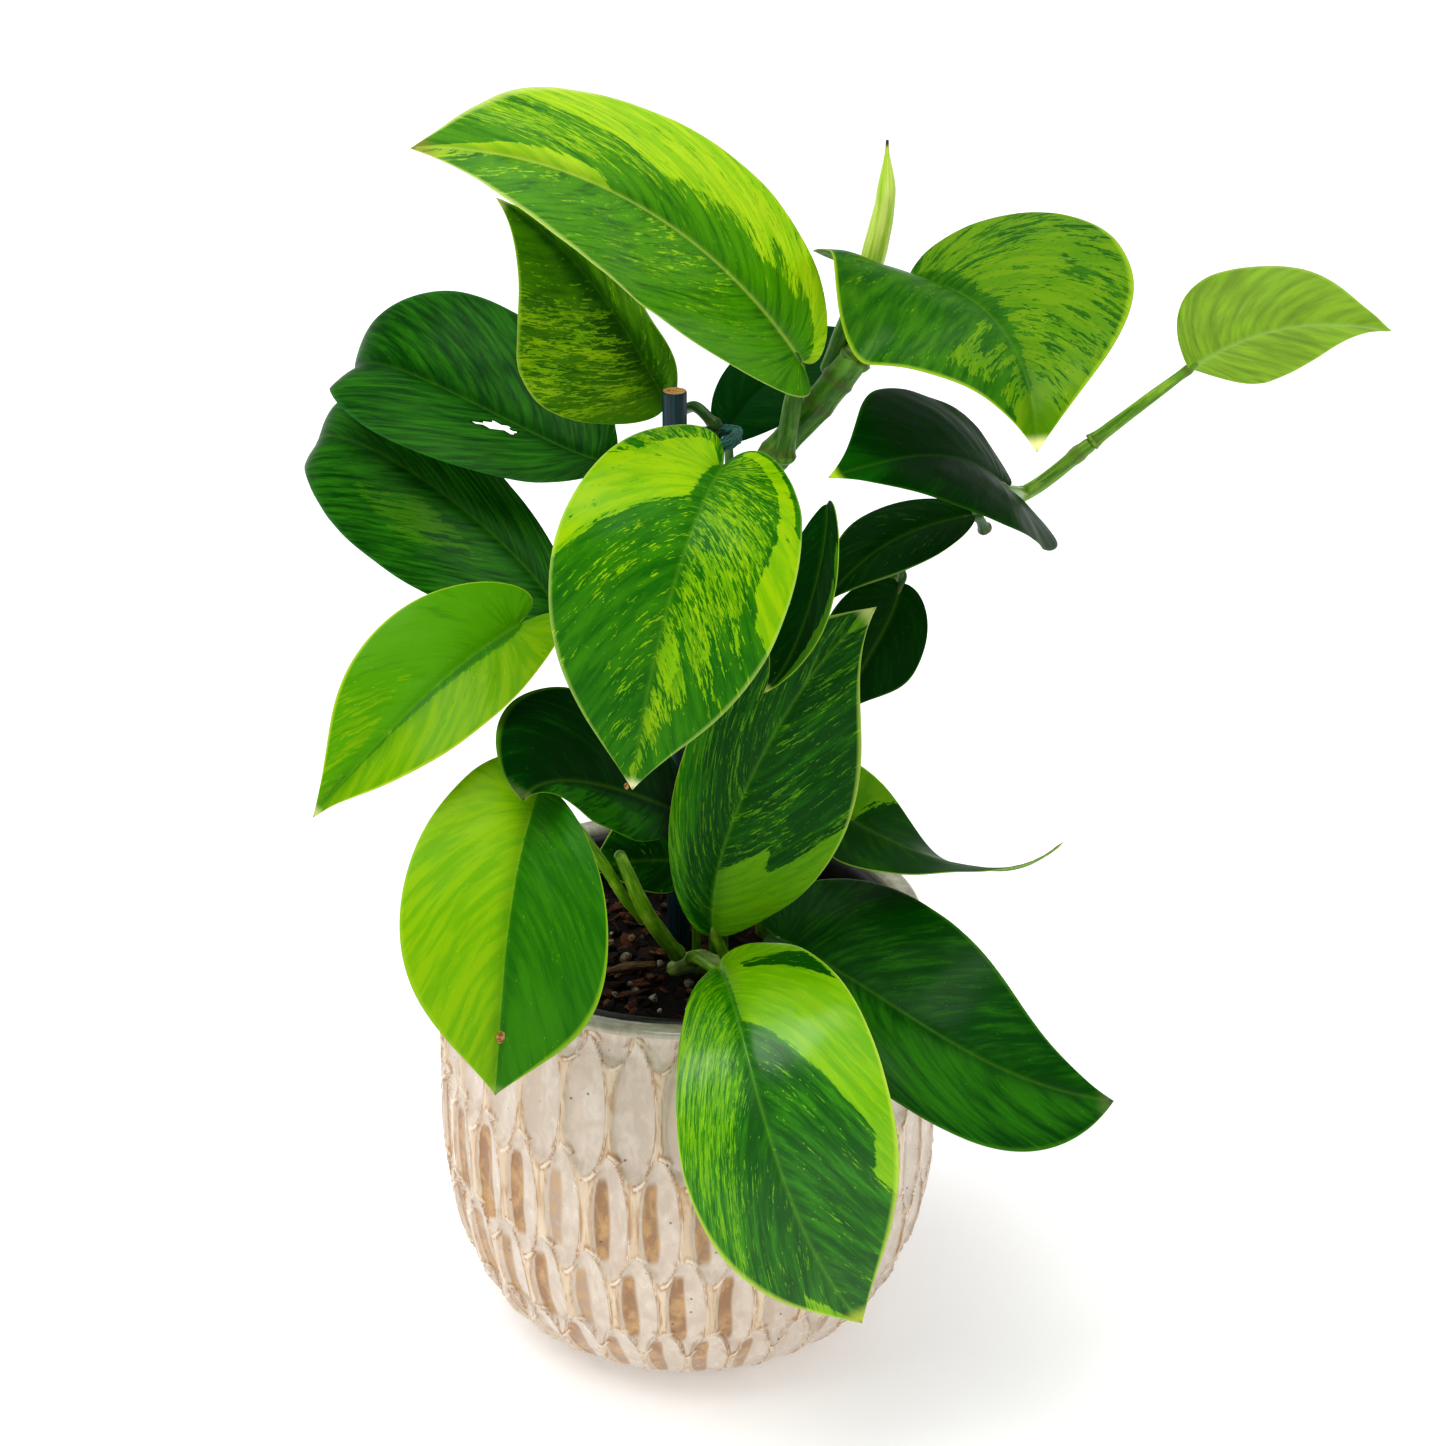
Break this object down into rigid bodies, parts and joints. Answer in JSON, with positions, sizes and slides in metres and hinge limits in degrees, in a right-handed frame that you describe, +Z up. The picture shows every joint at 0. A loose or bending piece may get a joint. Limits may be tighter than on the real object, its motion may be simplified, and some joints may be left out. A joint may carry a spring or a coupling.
{
  "type": "potted houseplant",
  "caption": "Climbing scindapsus with heart-shaped variegated leaves on long stems, tied to a cane, growing in a black nursery pot inside a glazed oval-scooped cachepot",
  "frame": {"origin": "centre of the cachepot's flat base, on the surface it stands on", "axes": "+Z up the pot's axis, -Y towards the side the leaves face, +X to the right seen from that side"},
  "size_m": [0.3077, 0.208, 0.3802],
  "materials": {
    "glazed_ceramic": "glossy cream and brown glazed stoneware",
    "black_plastic": "satin black nursery-pot plastic",
    "potting_mix": "dark moist bark and peat, matte",
    "tie_fibre": "dark teal fuzzy yarn",
    "cane_coat": "cane with a dark coat, pale cut end",
    "root": "dry grey-brown root skin",
    "stem_green": "smooth waxy green stem",
    "shoot_green": "fresh yellow-green rolled leaf",
    "leaf_dark": "dark green leaf, satin",
    "leaf_bright": "variegated green and lime leaf, glossy"
  },
  "bodies": {
    "root": {"cachepot": "glazed_ceramic", "nursery_pot": "black_plastic", "potting_mix": "potting_mix", "plant_tie": "tie_fibre", "support_cane": "cane_coat", "main_stem": "stem_green", "left_vine": "stem_green", "back_vine": "stem_green", "right_vine": "stem_green", "crown_stem": "stem_green", "leaf_sheath": "stem_green", "aerial_root": "root", "new_shoot": "shoot_green", "shoot_sheath": "stem_green", "leaf_a_petiole": "stem_green", "leaf_b_petiole": "stem_green", "leaf_c_petiole": "stem_green", "leaf_d_petiole": "stem_green", "leaf_e_petiole": "stem_green", "leaf_f_petiole": "stem_green", "leaf_g_petiole": "stem_green", "leaf_h_petiole": "stem_green", "leaf_i_petiole": "stem_green", "leaf_j_petiole": "stem_green", "leaf_k_petiole": "stem_green", "leaf_l_petiole": "stem_green", "leaf_m_petiole": "stem_green", "leaf_n_petiole": "stem_green", "leaf_o_petiole": "stem_green", "leaf_p_petiole": "stem_green", "leaf_q_petiole": "stem_green", "leaf_r_petiole": "stem_green", "leaf_s_petiole": "stem_green", "leaf_t_petiole": "stem_green", "leaf_a_blade": "leaf_bright", "leaf_b_blade": "leaf_bright", "leaf_c_blade": "leaf_dark", "leaf_d_blade": "leaf_dark", "leaf_e_blade": "leaf_bright", "leaf_f_blade": "leaf_bright", "leaf_g_blade": "leaf_bright", "leaf_h_blade": "leaf_dark", "leaf_i_blade": "leaf_dark", "leaf_j_blade": "leaf_bright", "leaf_k_blade": "leaf_dark", "leaf_l_blade": "leaf_bright", "leaf_m_blade": "leaf_dark", "leaf_n_blade": "leaf_bright", "leaf_o_blade": "leaf_dark", "leaf_p_blade": "leaf_bright", "leaf_q_blade": "leaf_dark", "leaf_r_blade": "leaf_dark", "leaf_s_blade": "leaf_dark", "leaf_t_blade": "leaf_dark"}
  },
  "joints": []
}
